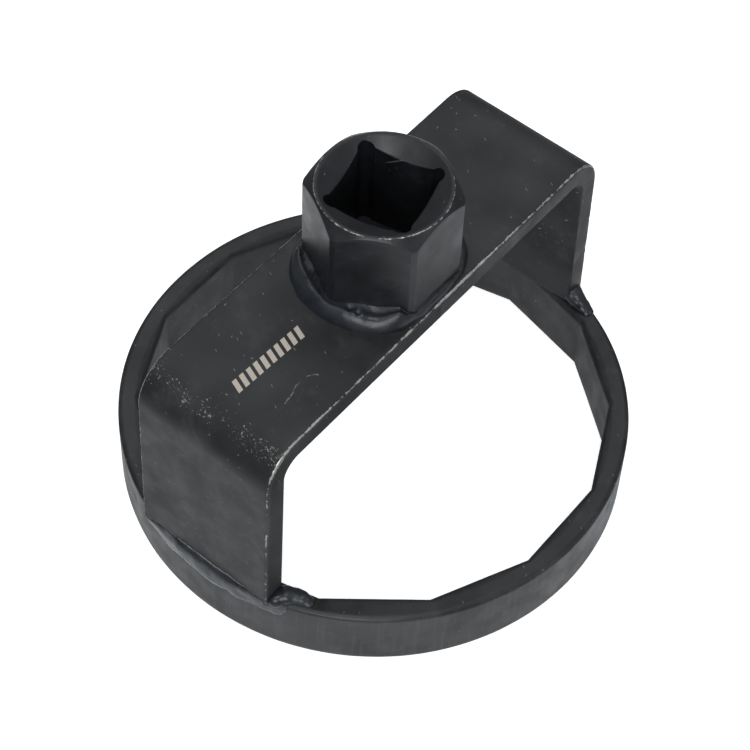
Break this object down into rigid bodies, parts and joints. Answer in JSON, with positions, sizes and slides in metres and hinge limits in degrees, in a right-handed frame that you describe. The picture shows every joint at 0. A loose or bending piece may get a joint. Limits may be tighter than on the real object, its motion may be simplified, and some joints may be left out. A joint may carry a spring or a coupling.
{
  "type": "oil filter wrench",
  "caption": "Cap-type oil filter wrench: fluted steel ring, bent flat-bar bridge and hexagonal drive boss with a square socket, welded together.",
  "frame": {"origin": "on the ring's axis at the ring's bottom face", "axes": "+Z along the ring's axis up to the drive boss, +X along the bridge bar, +Y across the bar"},
  "size_m": [0.0838, 0.0822, 0.0641],
  "materials": {
    "ring_steel": "satin black oxide over turned steel, edges worn bright",
    "bar_steel": "satin black oxide over rolled flat bar, edges and bends scuffed bright",
    "boss_steel": "satin black oxide over turned hexagon bar, rim worn bright",
    "weld_metal": "blackened rippled weld bead, slightly blue"
  },
  "bodies": {
    "root": {"filter_ring": "ring_steel", "bridge_bar": "bar_steel", "drive_boss": "boss_steel", "drive_weld": "weld_metal", "left_foot_weld": "weld_metal", "left_corner_weld": "weld_metal", "right_foot_weld": "weld_metal", "right_corner_weld": "weld_metal"}
  },
  "joints": []
}
